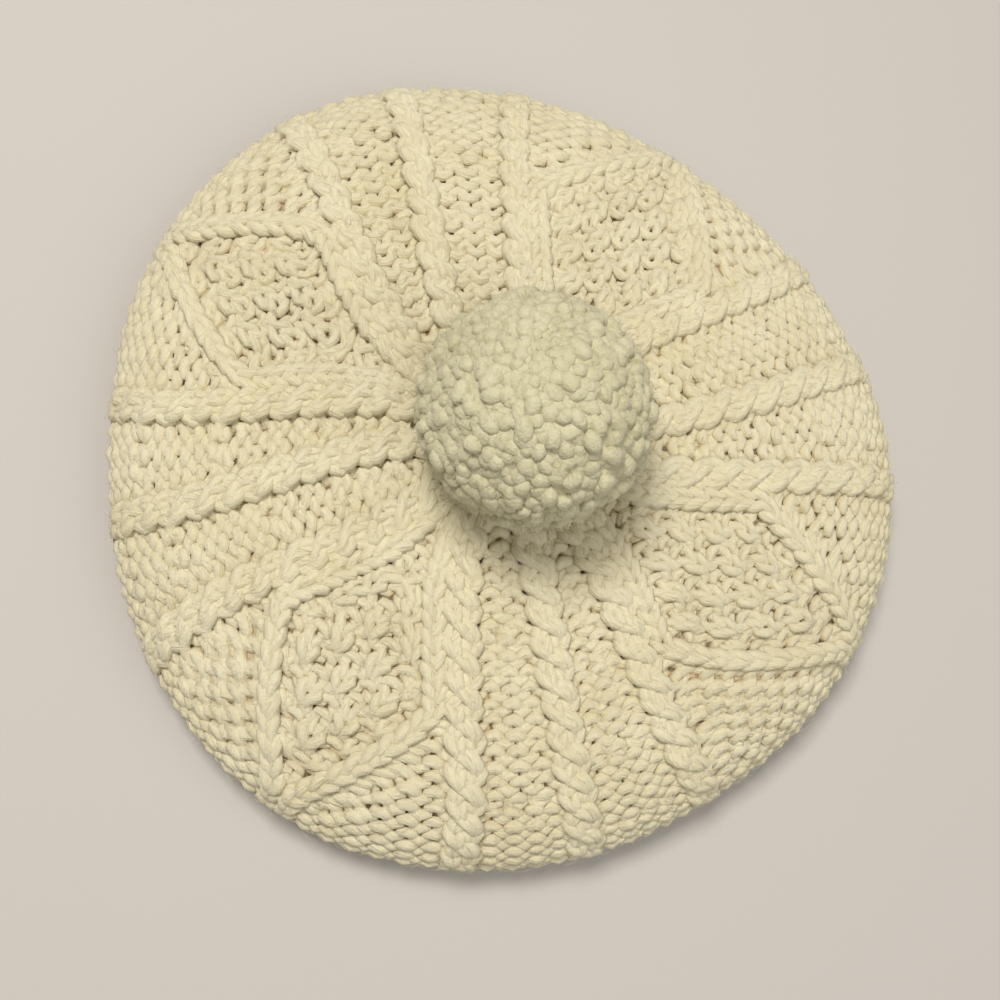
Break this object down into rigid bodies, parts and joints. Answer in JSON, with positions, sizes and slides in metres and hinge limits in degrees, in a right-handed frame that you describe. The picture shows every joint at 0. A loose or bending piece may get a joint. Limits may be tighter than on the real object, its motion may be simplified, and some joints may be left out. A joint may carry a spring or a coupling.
{
  "type": "hand-knitted tam o' shanter with pompom",
  "caption": "Flat round knitted hat, with raised cables and moss-stitch diamonds spreading from a pompom, and a ribbed head band.",
  "frame": {"origin": "on the surface that the hat lies on, under the middle of the crown's outline", "axes": "+Z up out of the crown, through the pompom; the picture of the hat looks down with +Y upwards and +X to the right"},
  "size_m": [0.264, 0.2626, 0.1036],
  "materials": {
    "cream_knit": "hand-knitted undyed cream wool, matt and slightly hairy",
    "cream_rib": "hand-knitted cream wool in two-by-two rib",
    "pompom_yarn": "dense cut ends of pale wool yarn"
  },
  "bodies": {
    "root": {"crown": "cream_knit", "band": "cream_rib", "pompom": "pompom_yarn"}
  },
  "joints": []
}
